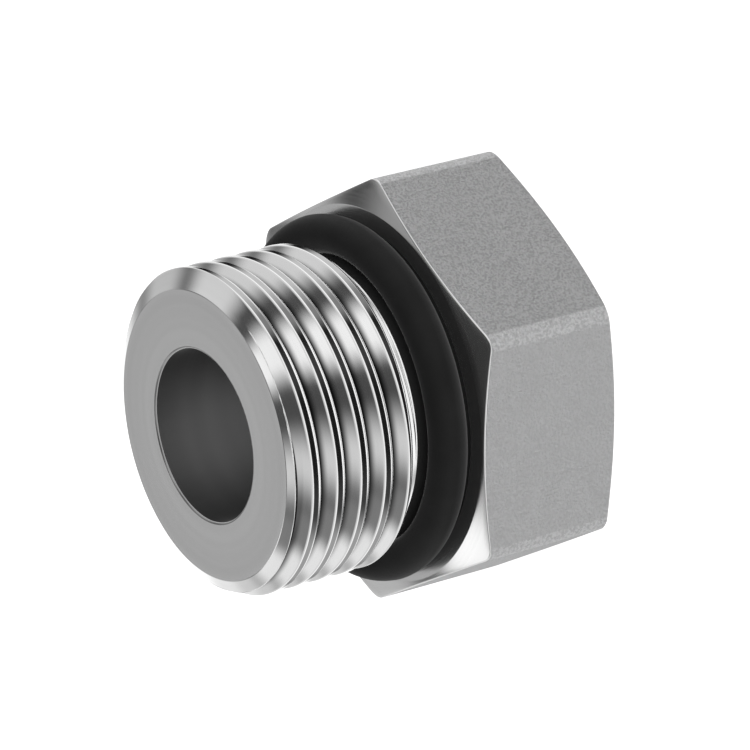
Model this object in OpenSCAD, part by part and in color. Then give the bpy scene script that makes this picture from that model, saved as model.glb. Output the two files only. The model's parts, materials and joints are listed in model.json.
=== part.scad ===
// O-ring boss plug: a hexagon head screw plug for a hydraulic port, with its sealing ring.
// The plug stands on its head with the thread up. The origin is the centre of the head's back face.

/* [Thread] */
// Major diameter of the thread, measured over the crests
thread_d = 18.8; // [18:0.05:20]

/* [Shank] */
// Length from the shoulder to the end face
shank_len = 11.125; // [10.8:0.025:16]
// Diameter of the flat end face, inside the start chamfer
end_face_d = 16.55; // [15:0.05:17.5]
// Angle of the start chamfer, measured from the end face
start_angle = 30; // [20:1:45]
// Angle of the chamfer where the thread ends, measured from the axis
runout_angle = 45; // [35:1:60]
// Diameter of the plain neck between the thread and the shoulder
neck_d = 16.65; // [15.5:0.05:16.9]
// Fillet between the neck and the shoulder
neck_fillet = 0.2; // [0.1:0.05:0.3]

/* [Bore] */
// Diameter of the blind bore in the thread end
bore_d = 9.9; // [6:0.1:12]
// Depth of the bore, to the edge of its drilled point
bore_depth = 12; // [6:0.5:14]
// Included angle of the drilled point
drill_angle = 118; // [90:1:140]
// Width of the small chamfer at the mouth of the bore
lip = 0.12; // [0.05:0.01:0.4]

/* [Head] */
// Width of the hexagon across its flats
hex_af = 22.225; // [21.6:0.025:26]
// Height of the head, from its back face to the shoulder
head_h = 9.1; // [6:0.1:14]
// Radius on the six upright edges of the hexagon
edge_r = 1; // [0.4:0.1:2]
// Diameter of the round shoulder face, inside the corner chamfer
shoulder_d = 21.78; // [21.3:0.01:22]
// Diameter of the round back face, inside the corner chamfer
back_d = 21.4; // [18:0.05:22]
// Angle of both corner chamfers, measured from the faces
corner_angle = 15.5; // [10:0.5:30]

/* [Sealing ring] */
// Thickness of the ring's round section
ring_section = 2.21; // [1.8:0.01:2.3]
// Clearance between the ring and the neck
ring_clear = 0.03; // [0.02:0.01:0.1]
// Distance that the ring stands off the shoulder
ring_standoff = 0.15; // [0.05:0.01:0.2]
// Room on the neck between the ring and the end of the thread
ring_room = 0.14; // [0.05:0.01:1]

/* [Hidden] */

// Sides of the round surfaces
facets = 120;
// How far a cut reaches past the metal it removes
past = 0.25;
// Steps on each rounded edge of the hexagon
edge_steps = 5;

thread_r = thread_d / 2;
bore_r = bore_d / 2;
end_face_r = end_face_d / 2;
neck_r = neck_d / 2;
start_h = (thread_r - end_face_r) * tan(start_angle);
total_h = head_h + shank_len;
corner_r = hex_af / 2 / cos(30);
corner_slope = tan(corner_angle);
shoulder_r = shoulder_d / 2;
back_r = back_d / 2;

// The neck is as long as the ring needs, and the thread takes the rest of the shank
neck_len = ring_standoff + ring_section + ring_room;
neck_top = head_h + neck_len;
runout_h = (thread_r - neck_r) / tan(runout_angle);
// Length from the end face to where the thread starts to run out
thread_len = shank_len - neck_len - runout_h;
runout_z = total_h - thread_len;

// Hexagon with rounded upright edges, flats towards +X and -X
module rounded_hexagon() {
    centre_r = corner_r - edge_r / cos(30);
    polygon([
        for (side = [0:5])
            for (k = [0:edge_steps])
                let (
                    middle = 30 + 60 * side,
                    a = middle - 30 + 60 * k / edge_steps
                )
                [
                    centre_r * cos(middle) + edge_r * cos(a),
                    centre_r * sin(middle) + edge_r * sin(a)
                ]
    ]);
}

// Turned outline of the head, which cuts the corners off the hexagon
module head_turning() {
    front_reach = corner_r - shoulder_r + past;
    back_reach = corner_r - back_r + past;
    rotate_extrude($fn = facets)
        polygon([
            [0, 0],
            [back_r, 0],
            [back_r + back_reach, back_reach * corner_slope],
            [shoulder_r + front_reach, head_h - front_reach * corner_slope],
            [shoulder_r, head_h],
            [0, head_h]
        ]);
}

module head() {
    intersection() {
        linear_extrude(head_h)
            rounded_hexagon();
        head_turning();
    }
}

// Neck and threaded part in one turning. The threaded part is a plain cylinder over its crests
module shank() {
    fillet_steps = 4;
    rotate_extrude($fn = facets)
        polygon(concat(
            [[0, head_h - past]],
            [[neck_r + neck_fillet, head_h - past]],
            [
                for (k = [0:fillet_steps])
                    let (a = 90 * k / fillet_steps)
                    [
                        neck_r + neck_fillet - neck_fillet * sin(a),
                        head_h + neck_fillet - neck_fillet * cos(a)
                    ]
            ],
            [
                [neck_r, neck_top],
                [thread_r, runout_z],
                [thread_r, total_h - start_h],
                [end_face_r, total_h],
                [0, total_h]
            ]
        ));
}

// Blind bore with its drilled point and the small chamfer at its mouth
module bore() {
    point_h = bore_r / tan(drill_angle / 2);
    rotate_extrude($fn = facets)
        polygon([
            [0, total_h - bore_depth - point_h],
            [bore_r, total_h - bore_depth],
            [bore_r, total_h - lip],
            [bore_r + lip + past, total_h + past],
            [0, total_h + past]
        ]);
}

module plug_body() {
    color("silver")
    difference() {
        union() {
            head();
            shank();
        }
        bore();
    }
}

module o_ring() {
    section_r = ring_section / 2;
    color([0.13, 0.13, 0.13])
    translate([0, 0, head_h + ring_standoff + section_r])
        rotate_extrude($fn = facets)
            translate([neck_r + ring_clear + section_r, 0])
                circle(section_r, $fn = 48);
}

plug_body();
o_ring();
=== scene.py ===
import json
import math

import bmesh
import bpy
from mathutils import Matrix, Vector

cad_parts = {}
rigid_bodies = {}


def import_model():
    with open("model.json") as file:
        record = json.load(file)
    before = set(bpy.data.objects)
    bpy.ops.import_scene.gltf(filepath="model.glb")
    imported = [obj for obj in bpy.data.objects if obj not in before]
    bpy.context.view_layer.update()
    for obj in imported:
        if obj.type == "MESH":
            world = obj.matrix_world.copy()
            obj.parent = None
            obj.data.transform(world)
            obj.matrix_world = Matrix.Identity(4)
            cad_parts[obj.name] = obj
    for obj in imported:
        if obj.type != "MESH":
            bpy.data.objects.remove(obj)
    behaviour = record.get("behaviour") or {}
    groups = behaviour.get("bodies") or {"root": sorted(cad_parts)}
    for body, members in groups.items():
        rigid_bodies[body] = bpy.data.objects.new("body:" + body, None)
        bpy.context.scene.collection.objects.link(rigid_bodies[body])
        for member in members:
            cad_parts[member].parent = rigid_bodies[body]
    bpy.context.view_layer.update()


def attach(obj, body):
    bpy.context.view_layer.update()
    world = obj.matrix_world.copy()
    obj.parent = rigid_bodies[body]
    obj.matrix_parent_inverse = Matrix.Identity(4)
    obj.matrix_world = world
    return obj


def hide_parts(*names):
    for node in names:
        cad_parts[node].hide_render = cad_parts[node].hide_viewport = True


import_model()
mm = 0.001
print("frame loaded")


def addNode(tree, kind, inputs=None, **settings):
    node = tree.nodes.new(kind)
    for name, value in settings.items():
        setattr(node, name, value)
    for key, value in (inputs or {}).items():
        if isinstance(value, bpy.types.NodeSocket):
            tree.links.new(value, node.inputs[key])
        else:
            node.inputs[key].default_value = value
    return node


def calculator(tree):
    # short way to write a formula in nodes
    def calc(operation, first, second=0.0, third=0.0, clamp=False):
        numbers = {0: first, 1: second, 2: third}
        return addNode(tree, "ShaderNodeMath", numbers, operation=operation, use_clamp=clamp).outputs[0]
    return calc


def softStep(tree, value, none, full):
    # goes smoothly from 0 to 1 while the value goes from none to full
    ends = {"Value": value, "From Min": none, "From Max": full}
    return addNode(tree, "ShaderNodeMapRange", ends, interpolation_type="SMOOTHSTEP").outputs[0]


def addNoise(tree, place, scale, detail, roughness=0.5):
    inputs = {"Vector": place, "Scale": scale, "Detail": detail, "Roughness": roughness}
    return addNode(tree, "ShaderNodeTexNoise", inputs).outputs["Fac"]


def emptyMaterial(name):
    material = bpy.data.materials.new(name)
    material.use_nodes = True
    material.node_tree.nodes.clear()
    return material


cameraPlace = {
    "azimuth": 115.391,      # degrees round the plug, 0 looks along +Y
    "elevation": 31.84,      # degrees above the floor
    "roll": 104.319,         # degrees clockwise, lays the thread to the left of the picture
    "distance": 306.587,     # mm
    "aim": (0.2492, 1.1279, 8.8586),   # mm
    "fieldOfView": 7.8797,   # degrees over the whole picture
    "sensor": 36,            # mm
    "clip": (0.01, 10),      # m
}


def makeCamera(place):
    a, e, roll = (math.radians(place[k]) for k in ("azimuth", "elevation", "roll"))
    back = Vector((math.sin(a) * math.cos(e), -math.cos(a) * math.cos(e), math.sin(e)))
    side = (-back).cross(Vector((0, 0, 1))).normalized()
    upright = side.cross(-back)
    up = math.cos(roll) * upright + math.sin(roll) * side
    right = (-back).cross(up)
    data = bpy.data.cameras.new("photoCamera")
    data.sensor_width = place["sensor"]
    data.lens = place["sensor"] / 2 / math.tan(math.radians(place["fieldOfView"] / 2))
    data.clip_start, data.clip_end = place["clip"]
    camera = bpy.data.objects.new("photoCamera", data)
    stand = Matrix.Translation((Vector(place["aim"]) + back * place["distance"]) * mm)
    camera.matrix_world = stand @ Matrix((right, up, back)).transposed().to_4x4()
    bpy.context.scene.collection.objects.link(camera)
    bpy.context.scene.camera = camera
    return back


toCamera = makeCamera(cameraPlace)
print("camera placed")

# The studio is a dome of light in rings, from below the plug to above it. A ring is what the surfaces of one
# slant mirror towards the photo's camera. Its slant is how far up they face, where 1 is straight up: first
# where the ring starts to show, then where it has taken over from the one before it.
# Its panels add to its base light. A panel is its middle and half its width in degrees round the plug, the
# fade at its sides, and its light.
studio = {
    "strength": 1.35,
    "background": 1.0,   # plain white, which only the camera sees
    "sweep": 0.62,       # light from under the plug
    "rings": [
        {   # undersides
            "slant": (-0.8, -0.6), "base": 0.15,
            "panels": [(-34, 14, 8, 0.7), (22, 32, 8, 0.95), (78, 14, 8, 0.7), (180, 60, 30, 0.5)],
        },
        {   # crests, and all that stands upright
            "slant": (-0.16, -0.06), "base": 0.01,
            "panels": [
                (-64, 9, 5, 1.0), (-36, 16, 8, 0.3), (-12, 10, 8, 0.03), (39, 7, 5, 0.03),
                (61, 7, 4, 0.19), (79, 11, 6, 0.5), (125, 21, 4, 0.75), (215, 60, 30, 0.35),
            ],
        },
        {   # rounded edges of the crests
            "slant": (0.12, 0.3), "base": 1.0, "panels": [],
        },
        {   # where an edge turns into the flank
            "slant": (0.34, 0.5), "base": 0.62, "panels": [],
        },
        {   # flanks and the start chamfer
            "slant": (0.6, 0.76), "base": 0.06,
            "panels": [
                (-68, 12, 8, 0.5), (-43.5, 10, 5, 0.68), (-24, 10, 6, 0.12),
                (3, 10, 9, 0.52), (45.5, 10, 6, 0.78), (86, 14, 7, 0.53),
                (122, 13, 8, 0.4), (190, 40, 20, 0.8), (250, 30, 14, 0.85),
            ],
        },
        {   # corner chamfers of the head
            "slant": (0.90, 0.945), "base": 0.03,
            "panels": [
                (-82, 16, 6, 0.4), (-36, 13, 5, 1.0), (-16, 7, 5, 0.35),
                (72, 18, 8, 0.25), (121, 12, 7, 0.4), (195, 45, 20, 0.35),
            ],
        },
        {   # end face
            "slant": (0.978, 0.993), "base": 0.36, "panels": [],
        },
    ],
}


def addPanels(tree, turn, ring):
    calc = calculator(tree)
    light = ring["base"]
    for middle, half, fade, bright in ring["panels"]:
        away = calc("ABSOLUTE", calc("WRAP", calc("SUBTRACT", turn, middle), 180.0, -180.0))
        light = calc("MULTIPLY_ADD", softStep(tree, away, half + fade, half - fade), bright, light)
    return light


def makeStudio(setup):
    world = bpy.data.worlds.new("studioDome")
    bpy.context.scene.world = world
    world.use_nodes = True
    tree = world.node_tree
    tree.nodes.clear()
    calc = calculator(tree)
    # which way a surface faces that mirrors the light of this direction towards the photo's camera
    direction = addNode(tree, "ShaderNodeTexCoord").outputs["Generated"]
    middle = addNode(tree, "ShaderNodeVectorMath", {0: direction, 1: tuple(toCamera)}, operation="ADD")
    facing = addNode(tree, "ShaderNodeVectorMath", {0: middle.outputs[0]}, operation="NORMALIZE")
    x, y, slant = addNode(tree, "ShaderNodeSeparateXYZ", {0: facing.outputs[0]}).outputs
    turn = calc("DEGREES", calc("ARCTAN2", y, x))
    light = setup["sweep"]
    for ring in setup["rings"]:
        share = softStep(tree, slant, *ring["slant"])
        above = addPanels(tree, turn, ring)
        light = addNode(tree, "ShaderNodeMix", {0: share, 2: light, 3: above}).outputs[0]
    dome = addNode(tree, "ShaderNodeBackground", {"Color": light, "Strength": setup["strength"]})
    plain = addNode(tree, "ShaderNodeBackground", {"Color": (1, 1, 1, 1), "Strength": setup["background"]})
    seen = addNode(tree, "ShaderNodeLightPath").outputs["Is Camera Ray"]
    both = addNode(tree, "ShaderNodeMixShader", {0: seen, 1: dome.outputs[0], 2: plain.outputs[0]})
    addNode(tree, "ShaderNodeOutputWorld", {0: both.outputs[0]})


makeStudio(studio)
bpy.context.scene.view_settings.view_transform = "Standard"

floorLook = {
    "size": 4000,      # mm
    "height": -0.02,   # mm, just under the plug
    "glow": 0.85,      # light of its own, so that shadows stay pale
    "paint": 0.75,
}


def makeFloor(look):
    half, z = look["size"] / 2 * mm, look["height"] * mm
    corners = [(-half, -half, z), (half, -half, z), (half, half, z), (-half, half, z)]
    mesh = bpy.data.meshes.new("floor")
    mesh.from_pydata(corners, [], [(0, 1, 2, 3)])
    floor = bpy.data.objects.new("floor", mesh)
    bpy.context.scene.collection.objects.link(floor)
    material = emptyMaterial("paleFloor")
    tree = material.node_tree
    paint = addNode(tree, "ShaderNodeBsdfDiffuse", {"Color": (look["paint"],) * 3 + (1,)})
    glow = addNode(tree, "ShaderNodeEmission", {"Color": (1, 1, 1, 1), "Strength": look["glow"]})
    both = addNode(tree, "ShaderNodeAddShader", {0: paint.outputs[0], 1: glow.outputs[0]})
    addNode(tree, "ShaderNodeOutputMaterial", {0: both.outputs[0]})
    mesh.materials.append(material)
    floor.visible_glossy = False   # the steel mirrors the dome's lower rings instead


makeFloor(floorLook)

boreLamp = {
    "turn": 25.4,        # degrees round the plug
    "height": 42,        # degrees above the floor
    "distance": 250,     # mm
    "aim": (-4.47, -2.12, 16.2),   # on the bore's far wall, mm
    "watts": 72,
    "cone": 1.65,        # degrees over the whole beam
    "softness": 1.0,     # share of the beam that fades towards its edge
    "radius": 4,         # mm
}


def makeLamp(setup):
    # a narrow lamp that reaches into the bore. It lights what is matt and shows in no mirror
    a, e = math.radians(setup["turn"]), math.radians(setup["height"])
    back = Vector((math.cos(a) * math.cos(e), math.sin(a) * math.cos(e), math.sin(e)))
    data = bpy.data.lights.new("boreLamp", "SPOT")
    data.energy, data.shadow_soft_size = setup["watts"], setup["radius"] * mm
    data.spot_size, data.spot_blend = math.radians(setup["cone"]), setup["softness"]
    lamp = bpy.data.objects.new("boreLamp", data)
    stand = Matrix.Translation((Vector(setup["aim"]) + back * setup["distance"]) * mm)
    lamp.matrix_world = stand @ back.to_track_quat("Z", "Y").to_matrix().to_4x4()
    lamp.visible_glossy = False
    bpy.context.scene.collection.objects.link(lamp)


makeLamp(boreLamp)
print("studio lit")


def grey(level):
    return (level, level, level)


def roundPlace(tree):
    # distance from the axis, and height
    place = addNode(tree, "ShaderNodeTexCoord").outputs["Object"]
    x, y, z = addNode(tree, "ShaderNodeSeparateXYZ", {0: place}).outputs
    calc = calculator(tree)
    return calc("SQRT", calc("ADD", calc("MULTIPLY", x, x), calc("MULTIPLY", y, y))), z


def roundAxis(tree):
    # a place that is the same all round the plug, for turning marks
    radius, z = roundPlace(tree)
    return addNode(tree, "ShaderNodeCombineXYZ", {0: radius, 1: z}).outputs[0]


def colourMix(tree, share, first, second):
    mix = addNode(tree, "ShaderNodeMix", {0: share, 6: first, 7: second}, data_type="RGBA")
    return mix.outputs[2]


def colourBetween(tree, share, dark, light):
    return colourMix(tree, share, dark + (1,), light + (1,))


def addBump(tree, height, distance):
    inputs = {"Height": height, "Strength": 1.0, "Distance": distance}
    return addNode(tree, "ShaderNodeBump", inputs).outputs[0]


def addSurface(tree, inputs):
    shader = addNode(tree, "ShaderNodeBsdfPrincipled", inputs)
    addNode(tree, "ShaderNodeOutputMaterial", {0: shader.outputs[0]})


turnedLook = {
    "dark": grey(0.70),
    "light": grey(0.80),
    "metallic": 1.0,
    "specular": 0.5,
    "roughness": (0.08, 0.13),
    "lineScale": 9000,            # turning lines per metre
    "lineHeight": 0.0005,         # mm
    "bandWidth": 9,               # how many lines wide the slow changes of shade are
    "groovePaintedShade": (0.40, 0.84),   # depths between which the groove's colour goes from bright to black, mm: painted shade deep in the groove
    "grooveShadeColour": grey(0.02),
}


def makeTurned(name, look, paintGrooveShade=False):
    material = emptyMaterial(name)
    tree = material.node_tree
    calc = calculator(tree)
    rings = roundAxis(tree)
    lines = addNoise(tree, rings, look["lineScale"], detail=3.0)
    bands = addNoise(tree, rings, look["lineScale"] / look["bandWidth"], detail=2.0)
    colour = colourBetween(tree, bands, look["dark"], look["light"])
    # painted shade: the thread's colour darkens to near black with depth in the groove and in its root, where
    # the real groove lies in shadow
    if paintGrooveShade:
        bright, black = (depth * mm for depth in look["groovePaintedShade"])
        depth = addNode(tree, "ShaderNodeAttribute", attribute_name="grooveShadeDepth").outputs["Fac"]
        colour = colourMix(tree, softStep(tree, depth, bright, black), colour, look["grooveShadeColour"] + (1,))
    smooth, rough = look["roughness"]
    addSurface(tree, {
        "Base Color": colour,
        "Metallic": look["metallic"],
        "Specular IOR Level": look["specular"],
        "Roughness": calc("MULTIPLY_ADD", lines, rough - smooth, smooth),
        "Normal": addBump(tree, lines, look["lineHeight"] * mm),
    })
    return material


# the other turned surfaces are given by what sets them apart from the thread
facedLook = dict(
    turnedLook, dark=grey(0.64), light=grey(0.86), roughness=(0.2, 0.28), lineScale=6000, lineHeight=0.004,
)
cornerLook = dict(turnedLook, dark=grey(0.66), light=grey(0.80), roughness=(0.12, 0.2), lineScale=6000)
# painted shade: the neck is painted near black, standing in for the shadow between the ring and the thread
neckShadeLook = dict(
    turnedLook, dark=grey(0.02), light=grey(0.03), roughness=(0.4, 0.5), metallic=0.0, specular=0.3,
)
lipLook = dict(turnedLook, dark=grey(0.26), light=grey(0.36), roughness=(0.2, 0.3))
# painted shade: the bore's steel is painted near black, standing in for the shade inside the hole; the bore
# lamp lights it
boreShadeLook = dict(
    turnedLook, dark=grey(0.006), light=grey(0.010), roughness=(0.5, 0.6), metallic=0.0, specular=0.05,
    lineScale=5000,
)

flatLook = {
    "dark": (0.54, 0.54, 0.545),
    "light": (0.58, 0.58, 0.585),
    "coarse": 0.72,             # how bright the coarse flats are painted in their pits, beside the fine ones: painted shade in the pits
    "pitEdge": 0.22,            # how much brighter they are painted between the pits: a painted highlight on the raised spots
    "speckle": 0.08,            # how much the grain shades the fine flats
    "ridge": (12.52, 12.58),    # distances from the axis between which the rolled corners begin, mm
    "ridgeDark": (0.54, 0.54, 0.545),
    "ridgeLight": (0.71, 0.71, 0.715),
    "roughness": 0.46,
    "grainScale": 6000,         # grains per metre
    "grainDepth": 0.17,         # mm
    "grainSpots": (0.4, 0.6),   # levels of the noise between which a grain goes from dark to light
    "patchWidth": 7,            # how many grains wide the slow changes of shade are
    "coarseGrain": 0.3,         # share of the grain's depth that is left on the coarse flats
    "pitScale": 7000,           # pits per metre
    "pitDepth": 0.06,           # mm
    "pitWalls": (0.35, 0.65),   # levels of the noise between which a pit's wall rises
    "changeover": 12,           # how sharply a coarse flat gives way to a fine one
}


def makeBlasted(look):
    material = emptyMaterial("blastedFlat")
    tree = material.node_tree
    calc = calculator(tree)
    place = addNode(tree, "ShaderNodeTexCoord").outputs["Object"]
    grain = addNoise(tree, place, look["grainScale"], detail=4.0, roughness=0.6)
    patches = addNoise(tree, place, look["grainScale"] / look["patchWidth"], detail=2.0)
    pits = softStep(tree, addNoise(tree, place, look["pitScale"], detail=1.0), *look["pitWalls"])
    speckle = softStep(tree, grain, *look["grainSpots"])
    # fine and coarse flats take turns: threefold is 1 at the middle of a fine one, as towards +X, and -1 at
    # the middle of a coarse one
    x, y, _ = addNode(tree, "ShaderNodeSeparateXYZ", {0: place}).outputs
    threefold = calc("COSINE", calc("MULTIPLY", calc("ARCTAN2", y, x), 3.0))
    coarse = calc("MULTIPLY_ADD", threefold, -look["changeover"], 0.5, clamp=True)
    left = calc("MULTIPLY_ADD", coarse, look["coarseGrain"] - 1, 1.0)
    grainDepth = calc("MULTIPLY", left, look["grainDepth"] * mm)
    pitHeight = calc("MULTIPLY", calc("MULTIPLY", coarse, pits), look["pitDepth"] * mm)
    height = calc("MULTIPLY_ADD", grain, grainDepth, pitHeight)
    fineShade = calc("MULTIPLY_ADD", speckle, look["speckle"], 1 - look["speckle"] / 2)
    # the pits are painted darker than the raised spots between them: painted shade in the pits
    pitPaintedShade = calc("MULTIPLY_ADD", pits, look["pitEdge"], look["coarse"])
    shade = addNode(tree, "ShaderNodeMix", {0: coarse, 2: fineShade, 3: pitPaintedShade}).outputs[0]
    even = colourBetween(tree, patches, look["dark"], look["light"])
    plain = addNode(tree, "ShaderNodeVectorMath", {0: even, "Scale": shade}, operation="SCALE").outputs[0]
    radius, _ = roundPlace(tree)
    begins, whole = (reach * mm for reach in look["ridge"])
    rolled = colourBetween(tree, speckle, look["ridgeDark"], look["ridgeLight"])
    addSurface(tree, {
        "Base Color": colourMix(tree, softStep(tree, radius, begins, whole), plain, rolled),
        "Metallic": 1.0,
        "Roughness": look["roughness"],
        "Normal": addBump(tree, height, 1.0),
    })
    return material


rubberLook = {
    "dark": grey(0.006),
    "light": grey(0.013),
    "roughness": (0.55, 0.68),
    "specular": 0.15,
    "grainScale": 7000,    # grains per metre
    "grainDepth": 0.004,   # mm
    "patchWidth": 12,      # how many grains wide the slow changes of shade are
}


def makeRubber(look):
    material = emptyMaterial("mouldedRubber")
    tree = material.node_tree
    calc = calculator(tree)
    place = addNode(tree, "ShaderNodeTexCoord").outputs["Object"]
    grain = addNoise(tree, place, look["grainScale"], detail=3.0)
    patches = addNoise(tree, place, look["grainScale"] / look["patchWidth"], detail=2.0)
    smooth, rough = look["roughness"]
    addSurface(tree, {
        "Base Color": colourBetween(tree, patches, look["dark"], look["light"]),
        "Specular IOR Level": look["specular"],
        "Roughness": calc("MULTIPLY_ADD", grain, rough - smooth, smooth),
        "Normal": addBump(tree, grain, look["grainDepth"] * mm),
    })
    return material


finishes = {
    "bore": makeTurned("boreShadedSteel", boreShadeLook),
    "lip": makeTurned("lipSteel", lipLook),
    "face": makeTurned("facedSteel", facedLook),
    "thread": makeTurned("threadSteel", turnedLook, paintGrooveShade=True),
    "neck": makeTurned("neckPaintedShade", neckShadeLook),
    "corner": makeTurned("cornerSteel", cornerLook),
    "flat": makeBlasted(flatLook),
}
print("finishes made")

# Plug body: geometry nodes make the thread, and the rest is turned column by column. Sizes are mm and degrees

plug = {
    "threadDiameter": 18.8,
    "pitch": 1.5875,
    "crestWidth": 0.56,
    "flankAngle": 60,
    "rootRadius": 0.06,
    "rootShadeWidth": 0.07,        # how far from the middle of the groove its root is painted dark: painted shade in the root
    "firstStep": 0.25,       # below the end face, where the groove begins on the chamfer
    "stepFall": 5.0,         # how steeply the chamfer gives way to the groove there
    "firstCrest": 0.94,      # below the end face, on the +X side
    "frontEdge": 0.31,       # rounding of the crest's edge towards the end face
    "rearEdge": 0.36,        # rounding of its edge towards the head
    "chamferEdge": 0.04,     # rounding where the thread meets a chamfer
    "shankLength": 11.125,
    "threadLength": 7.55,    # from the end face to where the thread starts to run out
    "endFaceDiameter": 16.55,
    "faceEdge": 0.15,        # rounding between the end face and the start chamfer
    "startAngle": 30,
    "runoutAngle": 45,
    "neckDiameter": 16.65,
    "neckFoot": 0.1,         # rounding where the thread ends on the neck
    "neckFillet": 0.2,
    "boreDiameter": 9.9,
    "boreDepth": 12,
    "boreCorner": 0.3,       # rounding where the bore's wall meets its point
    "drillAngle": 118,
    "boreLip": 0.12,
    "hexAcrossFlats": 22.225,
    "headHeight": 9.1,
    "ridgeRadius": 1.04,
    "shoulderDiameter": 21.78,
    "backDiameter": 21.4,
    "cornerAngle": 15.5,
    "cornerEdge": 0.3,       # rounding where a corner chamfer meets the shoulder or the back face
    "edgeBreak": 0.09,       # rounding where a corner chamfer meets the hexagon's sides
    "columnsPerFlat": 48,
    "crowding": 0.7,         # how much closer the columns stand at the hexagon's corners
    "shoulderRow": 0.6,      # where the shoulder has a row of points, as a share of its width
    "rowSpread": 0.6,        # how far the close rows reach at a crest's edge, as a share of its rounding
    "faceWeight": 60,        # how far the large faces lead the shading, 50 is neutral
}
totalHeight = plug["headHeight"] + plug["shankLength"]
weldReach = 4e-7    # m, points closer than this become one
sliverSize = 1e-8   # m, edges shorter than this are taken out


def hexRadius(angle, size):
    # radius of the rounded hexagon at an angle
    across, ridge = size["hexAcrossFlats"] / 2, size["ridgeRadius"]
    turn = abs((math.degrees(angle) + 30) % 60 - 30)
    tangent = math.degrees(math.atan((across - ridge) * math.tan(math.radians(30)) / across))
    if turn <= tangent:
        return across / math.cos(math.radians(turn))
    centre = (across - ridge) / math.cos(math.radians(30))
    off = math.radians(30 - turn)
    return centre * math.cos(off) + math.sqrt(ridge ** 2 - (centre * math.sin(off)) ** 2)


def roundedCorner(before, corner, after, radius, steps):
    # points of the arc that rounds a corner between two straight sides
    before, corner, after = Vector(before), Vector(corner), Vector(after)
    a, b = (before - corner).normalized(), (after - corner).normalized()
    half = a.angle(b) / 2
    centre = corner + (a + b).normalized() * radius / math.sin(half)
    start = corner + a * radius / math.tan(half) - centre
    end = corner + b * radius / math.tan(half) - centre
    whole = start.angle(end)
    points = []
    for k in range(steps + 1):
        first, second = math.sin(whole * (1 - k / steps)), math.sin(whole * k / steps)
        points.append(tuple(centre + (start * first + end * second) / math.sin(whole)))
    return points


def between(first, last, steps):
    # even steps from first to last, without these two
    return [first + (last - first) * k / steps for k in range(1, steps)]


def withFinish(points, finish):
    return [(point, finish) for point in points]


def frontProfile(size):
    # from the bottom of the bore to the start chamfer, as (radius, height)
    boreR, top = size["boreDiameter"] / 2, totalHeight
    floorZ = top - size["boreDepth"]
    point = (0, floorZ - boreR / math.tan(math.radians(size["drillAngle"] / 2)))
    wall, mouth, edge = (boreR, floorZ), (boreR, top), (size["endFaceDiameter"] / 2, top)
    cone = (edge[0] + 1, top - math.tan(math.radians(size["startAngle"])))
    lip = roundedCorner(wall, mouth, edge, size["boreLip"], steps=5)
    arc = roundedCorner(mouth, edge, cone, size["faceEdge"], steps=4)
    rows = [(point, "bore")]
    rows += withFinish(roundedCorner(point, wall, mouth, size["boreCorner"], steps=4), "bore")
    rows += [((boreR, z), "bore") for z in between(floorZ, top, steps=4)]
    rows += withFinish(lip[:-1], "lip") + [(lip[-1], "face")]
    rows += [((r, top), "face") for r in between(boreR, edge[0], steps=4)]
    rows += [(arc[0], "face")] + withFinish(arc[1:], "corner")
    return rows


def rearProfile(size, angle):
    # from the end of the thread to the middle of the back face
    neckR, head = size["neckDiameter"] / 2, size["headHeight"]
    shoulderR, backR, hexR = size["shoulderDiameter"] / 2, size["backDiameter"] / 2, hexRadius(angle, size)
    runout = (size["threadDiameter"] / 2 - neckR) / math.tan(math.radians(size["runoutAngle"]))
    foot = (neckR, totalHeight - size["threadLength"] - runout)
    rise = (neckR + 1, foot[1] + math.tan(math.radians(90 - size["runoutAngle"])))
    slope = math.tan(math.radians(size["cornerAngle"]))
    inner, shoulder, back = (neckR, head), (shoulderR, head), (backR, 0)
    ridge = (hexR, head - (hexR - shoulderR) * slope)
    low = (hexR, (hexR - backR) * slope)
    front = roundedCorner(shoulder, ridge, low, size["edgeBreak"], steps=5)
    under = roundedCorner(ridge, low, back, size["edgeBreak"], steps=5)
    rows = withFinish(roundedCorner(rise, foot, inner, size["neckFoot"], steps=4), "neck")
    rows += withFinish(roundedCorner(foot, inner, shoulder, size["neckFillet"], steps=5), "neck")
    rows += [((neckR + (shoulderR - neckR) * size["shoulderRow"], head), "face")]
    rows += withFinish(roundedCorner(inner, shoulder, ridge, size["cornerEdge"], steps=3), "corner")
    for r in between(shoulderR, front[0][0], steps=3):
        rows.append(((r, head - (r - shoulderR) * slope), "corner"))
    rows += withFinish(front[:-1], "corner") + [(front[-1], "flat")]
    rows += [((hexR, z), "flat") for z in between(front[-1][1], under[0][1], steps=6)]
    rows += withFinish(under, "corner")
    rows += withFinish(roundedCorner(low, back, (0, 0), size["cornerEdge"], steps=3), "corner")
    rows += [((r, 0), "face") for r in between(backR, 0, steps=3)] + [((0, 0), "face")]
    return rows


def columnAngles(size):
    angles = []
    for i in range(6 * size["columnsPerFlat"]):
        side, share = divmod(i / size["columnsPerFlat"], 1)
        shift = size["crowding"] * math.sin(2 * math.pi * share) / (2 * math.pi)
        angles.append(math.radians(60 * (side + share + shift)))
    return angles


def revolve(name, profiles, angles, slots):
    # skins one profile per column, all round; the slot of a row is the finish from it to the next row
    count = len(profiles[0])
    verts = [
        (r * math.cos(a) * mm, r * math.sin(a) * mm, z * mm)
        for a, rows in zip(angles, profiles) for (r, z), _ in rows
    ]
    faces, marks = [], []
    for i in range(len(angles)):
        a, b = i * count, (i + 1) % len(angles) * count
        for j in range(count - 1):
            faces.append((a + j, b + j, b + j + 1, a + j + 1))
            marks.append(slots.index(profiles[0][j][1]))
    mesh = bpy.data.meshes.new(name)
    mesh.from_pydata(verts, [], faces)
    mesh.polygons.foreach_set("material_index", marks)
    return mesh


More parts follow.
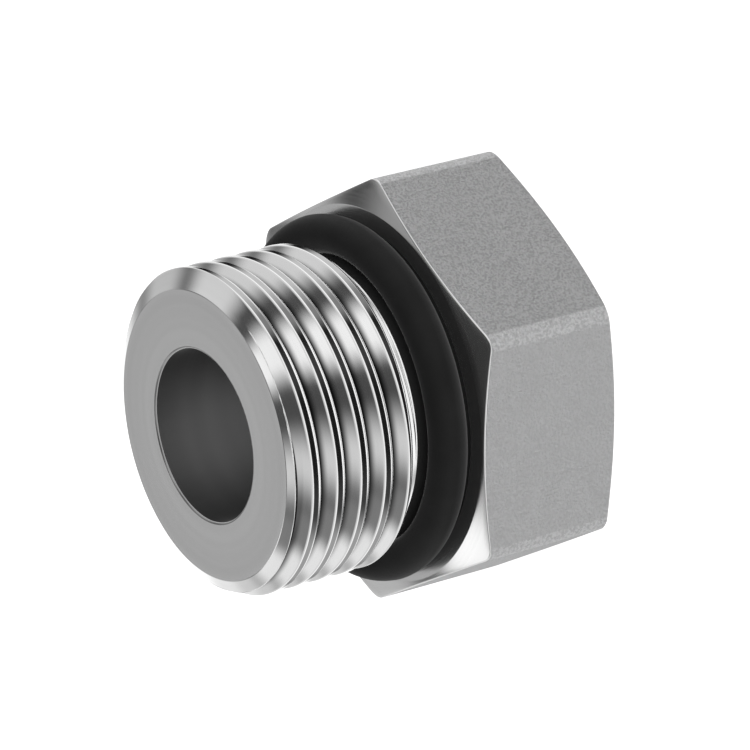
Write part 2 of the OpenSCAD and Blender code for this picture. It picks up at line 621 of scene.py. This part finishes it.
threadInputs = {
    "Pitch": plug["pitch"],
    "Crest Radius": plug["threadDiameter"] / 2,
    "Crest Width": plug["crestWidth"],
    "Root Radius": plug["rootRadius"],
    "Root Shade Width": plug["rootShadeWidth"],
    "First Step": plug["firstStep"],
    "First Crest": plug["firstCrest"],
    "Front Edge": plug["frontEdge"],
    "Rear Edge": plug["rearEdge"],
    "Chamfer Edge": plug["chamferEdge"],
    "End Face Radius": plug["endFaceDiameter"] / 2,
    "Thread Length": plug["threadLength"],
    "Total Height": totalHeight,
}
threadAngles = {
    "Half Flank": plug["flankAngle"] / 2,
    "Start Angle": plug["startAngle"],
    "Runout Angle": plug["runoutAngle"],
}


def threadSection(tree, given, side, away):
    # radius of the endless thread, from how far a place is from the middle of the groove
    calc = calculator(tree)
    half, root, crest = given["Half Flank"], given["Root Radius"], given["Crest Radius"]
    steep = calc("TANGENT", half)
    groove = calc("SUBTRACT", given["Pitch"], given["Crest Width"])
    sharp = calc("SUBTRACT", crest, calc("DIVIDE", calc("DIVIDE", groove, 2.0), steep))
    flank = calc("ADD", sharp, calc("DIVIDE", away, steep))
    square = calc("SUBTRACT", calc("MULTIPLY", root, root), calc("MULTIPLY", away, away))
    centre = calc("ADD", sharp, calc("DIVIDE", root, calc("SINE", half)))
    bottom = calc("SUBTRACT", centre, calc("SQRT", calc("MAXIMUM", square, 0.0)))
    inRoot = calc("LESS_THAN", away, calc("MULTIPLY", root, calc("COSINE", half)))
    section = calc("ADD", flank, calc("MULTIPLY", inRoot, calc("SUBTRACT", bottom, flank)))
    inFront = calc("GREATER_THAN", side, 0.0)
    change = calc("SUBTRACT", given["Front Edge"], given["Rear Edge"])
    edge = calc("ADD", given["Rear Edge"], calc("MULTIPLY", inFront, change))
    return calc("SMOOTH_MIN", section, crest, edge)


def threadEnds(tree, given, depth, section):
    # cuts the thread to its chamfers at both ends, and gives how deep it lies below them and the crests
    calc = calculator(tree)
    crest, edge = given["Crest Radius"], given["Chamfer Edge"]
    cone = calc("DIVIDE", depth, calc("TANGENT", given["Start Angle"]))
    start = calc("ADD", given["End Face Radius"], cone)
    past = calc("SUBTRACT", depth, given["Thread Length"])
    runout = calc("SUBTRACT", crest, calc("MULTIPLY", past, calc("TANGENT", given["Runout Angle"])))
    # the start chamfer is whole down to the first step
    below = calc("MAXIMUM", calc("SUBTRACT", depth, given["First Step"]), 0.0)
    whole = calc("SUBTRACT", start, calc("MULTIPLY", below, plug["stepFall"]))
    section = calc("SMOOTH_MIN", calc("MAXIMUM", section, whole), start, edge)
    section = calc("SMOOTH_MIN", section, runout, edge)
    envelope = calc("MINIMUM", crest, calc("MINIMUM", start, runout))
    return section, calc("SUBTRACT", envelope, section)


def grooveShadeMark(tree, given, away, deep):
    # the depth, and in the root the whole pitch wherever the groove has begun, so that the root is painted
    # black: this mark carries the groove's painted shade
    calc = calculator(tree)
    begun = calc("DIVIDE", calc("SUBTRACT", deep, given["First Step"]), given["First Step"], clamp=True)
    # full in the inner half of the root's painted shade
    near = calc("SUBTRACT", 1.0, calc("DIVIDE", away, given["Root Shade Width"]))
    inRoot = calc("MULTIPLY", near, 2.0, clamp=True)
    return calc("MAXIMUM", deep, calc("MULTIPLY", calc("MULTIPLY", begun, inRoot), given["Pitch"]))


def buildThreadTree():
    # wraps a flat sheet round the axis: x is the angle in radians, y the place along the helix
    tree = bpy.data.node_groups.new("threadedSurface", "GeometryNodeTree")
    tree.interface.new_socket("Geometry", in_out="INPUT", socket_type="NodeSocketGeometry")
    for name in list(threadInputs) + list(threadAngles) + ["First Depth", "Last Depth"]:
        tree.interface.new_socket(name, in_out="INPUT", socket_type="NodeSocketFloat")
    tree.interface.new_socket("Material", in_out="INPUT", socket_type="NodeSocketMaterial")
    tree.interface.new_socket("Geometry", in_out="OUTPUT", socket_type="NodeSocketGeometry")
    given = addNode(tree, "NodeGroupInput").outputs
    calc = calculator(tree)
    flat = addNode(tree, "GeometryNodeInputPosition").outputs[0]
    angle, along, _ = addNode(tree, "ShaderNodeSeparateXYZ", {0: flat}).outputs
    climb = calc("MULTIPLY", angle, calc("DIVIDE", given["Pitch"], 2 * math.pi))
    reach = calc("MAXIMUM", calc("SUBTRACT", along, climb), given["First Depth"])
    depth = calc("MINIMUM", reach, given["Last Depth"])
    # distance from the middle of the groove, from half a pitch behind to half a pitch ahead
    groove = calc("SUBTRACT", given["Pitch"], given["Crest Width"])
    crestEnd = calc("ADD", given["First Crest"], given["Crest Width"])
    middle = calc("ADD", crestEnd, calc("DIVIDE", groove, 2.0))
    halfPitch = calc("DIVIDE", given["Pitch"], 2.0)
    offset = calc("SUBTRACT", calc("ADD", depth, climb), middle)
    side = calc("WRAP", offset, halfPitch, calc("MULTIPLY", halfPitch, -1.0))
    away = calc("ABSOLUTE", side)
    section, deep = threadEnds(tree, given, depth, threadSection(tree, given, side, away))
    # the painted-shade mark is stored while the sheet is still flat, because its sums read the flat positions
    marked = addNode(
        tree, "GeometryNodeStoreNamedAttribute",
        {"Geometry": given["Geometry"], "Name": "grooveShadeDepth", "Value": grooveShadeMark(tree, given, away, deep)},
        data_type="FLOAT", domain="POINT",
    ).outputs[0]
    place = addNode(tree, "ShaderNodeCombineXYZ", {
        0: calc("MULTIPLY", section, calc("COSINE", angle)),
        1: calc("MULTIPLY", section, calc("SINE", angle)),
        2: calc("SUBTRACT", given["Total Height"], depth),
    }).outputs[0]
    sheet = addNode(tree, "GeometryNodeSetPosition", {"Geometry": marked, "Position": place}).outputs[0]
    weld = {"Geometry": sheet, "Distance": weldReach}
    sheet = addNode(tree, "GeometryNodeMergeByDistance", weld).outputs[0]
    sheet = addNode(tree, "GeometryNodeRealizeInstances", {"Geometry": sheet}).outputs[0]
    painted = addNode(tree, "GeometryNodeSetMaterial", {"Geometry": sheet, "Material": given["Material"]})
    addNode(tree, "NodeGroupOutput", {"Geometry": painted.outputs[0]})
    return tree


def threadRows(size, last):
    # places of the rows over one pitch, close together where the section curves, then repeated
    half, groove = size["pitch"] / 2, (size["pitch"] - size["crestWidth"]) / 2
    root, spread = size["rootShadeWidth"], size["rowSpread"]
    rear, front = size["rearEdge"] * spread, size["frontEdge"] * spread
    stops = [   # a place, and how many rows there are from it to the next
        (-groove - rear, 9), (-groove + rear, 7), (-root, 6),
        (root, 8), (groove - front, 10), (groove + front, 2), (2 * half - groove - rear, 0),
    ]
    turn = []
    for (a, steps), (b, _) in zip(stops, stops[1:]):
        turn += [a + (b - a) * k / steps for k in range(steps)]
    middle = size["firstCrest"] + size["crestWidth"] + groove
    start, end = -size["crestWidth"], last + size["pitch"] + size["crestWidth"]
    before, after = math.ceil(middle / size["pitch"]) + 1, math.ceil(end / size["pitch"]) + 1
    rows = [middle + p + size["pitch"] * k for k in range(-before, after) for p in turn]
    return [row for row in rows if start < row < end]


def makeThread(size, angles, first, last, material):
    columns = angles + [2 * math.pi]
    rows = threadRows(size, last)
    verts = [(a, row * mm, 0) for a in columns for row in rows]
    count = len(rows)
    faces = [
        (i * count + j, i * count + j + 1, (i + 1) * count + j + 1, (i + 1) * count + j)
        for i in range(len(columns) - 1) for j in range(count - 1)
    ]
    mesh = bpy.data.meshes.new("threadSheet")
    mesh.from_pydata(verts, [], faces)
    sheet = bpy.data.objects.new("threadSheet", mesh)
    bpy.context.scene.collection.objects.link(sheet)
    tree = buildThreadTree()
    values = {name: value * mm for name, value in threadInputs.items()}
    values.update({name: math.radians(value) for name, value in threadAngles.items()})
    values.update({"First Depth": first * mm, "Last Depth": last * mm, "Material": material})
    wrap = sheet.modifiers.new("wrapThread", "NODES")
    wrap.node_group = tree
    for socket in tree.interface.items_tree:
        if socket.in_out == "INPUT" and socket.name in values:
            wrap[socket.identifier] = values[socket.name]
    plain = bpy.data.meshes.new_from_object(sheet.evaluated_get(bpy.context.evaluated_depsgraph_get()))
    sheet.modifiers.remove(wrap)
    bpy.data.objects.remove(sheet)
    return plain


def makePlug(size):
    slots = list(finishes)
    angles = columnAngles(size)
    front = frontProfile(size)
    rears = [rearProfile(size, a) for a in angles]
    first, last = totalHeight - front[-1][0][1], totalHeight - rears[0][0][0][1]
    thread = makeThread(size, angles, first, last, finishes["thread"])
    for polygon in thread.polygons:
        polygon.material_index = slots.index("thread")
    parts = [   # the thread is first, so that its painted-shade marks are kept
        thread,
        revolve("front", [front] * len(angles), angles, slots),
        revolve("rear", rears, angles, slots),
    ]
    body = bmesh.new()
    for part in parts:
        body.from_mesh(part)
        bpy.data.meshes.remove(part)
    bmesh.ops.remove_doubles(body, verts=body.verts, dist=weldReach)
    bmesh.ops.dissolve_degenerate(body, edges=body.edges, dist=sliverSize)
    bmesh.ops.recalc_face_normals(body, faces=body.faces)
    for face in body.faces:
        face.smooth = True
    openEdges = sum(not e.is_manifold for e in body.edges)
    mesh = bpy.data.meshes.new("plugBody")
    body.to_mesh(mesh)
    body.free()
    for name in slots:
        mesh.materials.append(finishes[name])
    piece = bpy.data.objects.new("plugBody", mesh)
    bpy.context.scene.collection.objects.link(piece)
    weigh = piece.modifiers.new("flatFacesFlat", "WEIGHTED_NORMAL")
    weigh.weight, weigh.keep_sharp = size["faceWeight"], False
    plain = bpy.data.meshes.new_from_object(piece.evaluated_get(bpy.context.evaluated_depsgraph_get()))
    piece.modifiers.remove(weigh)
    piece.data = plain
    piece.visible_glossy = False   # each surface mirrors the dome, and not its neighbour
    triangles = sum(len(p.vertices) - 2 for p in plain.polygons)
    print("plug body:", triangles, "triangles,", openEdges, "open edges")
    return piece


plugBody = makePlug(plug)
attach(plugBody, "root")
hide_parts("plug_body")

# Sealing ring: a round section with a faint mould line inside and outside. Sizes are mm

ring = {
    "section": 2.21,
    "clearance": 0.03,       # between the ring and the neck
    "standoff": 0.15,        # between the ring and the shoulder
    "flashHeight": 0.012,    # the mould line round the ring
    "flashWidth": 0.09,
    "around": 240,           # columns
    "across": 56,            # points of the section
}


def makeRing(size):
    tube, flash = size["section"] / 2, size["flashHeight"]
    around, across = size["around"], size["across"]
    centre = plug["neckDiameter"] / 2 + size["clearance"] + tube
    middle = plug["headHeight"] + size["standoff"] + tube
    verts, faces = [], []
    for i in range(around):
        a = 2 * math.pi * i / around
        for j in range(across):
            b = 2 * math.pi * j / across
            off = min(abs(b - math.pi), b, 2 * math.pi - b) * tube
            r = tube - flash + flash * math.exp(-(off / size["flashWidth"]) ** 2)
            reach = centre + r * math.cos(b)
            height = middle + r * math.sin(b)
            verts.append((reach * math.cos(a) * mm, reach * math.sin(a) * mm, height * mm))
            here, beside, j2 = i * across, (i + 1) % around * across, (j + 1) % across
            faces.append((here + j, beside + j, beside + j2, here + j2))
    mesh = bpy.data.meshes.new("sealRing")
    mesh.from_pydata(verts, [], faces)
    mesh.polygons.foreach_set("use_smooth", [True] * len(faces))
    mesh.materials.append(makeRubber(rubberLook))
    piece = bpy.data.objects.new("sealRing", mesh)
    bpy.context.scene.collection.objects.link(piece)
    return piece


sealRing = makeRing(ring)
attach(sealRing, "root")
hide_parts("o_ring")
print("sealing ring made")
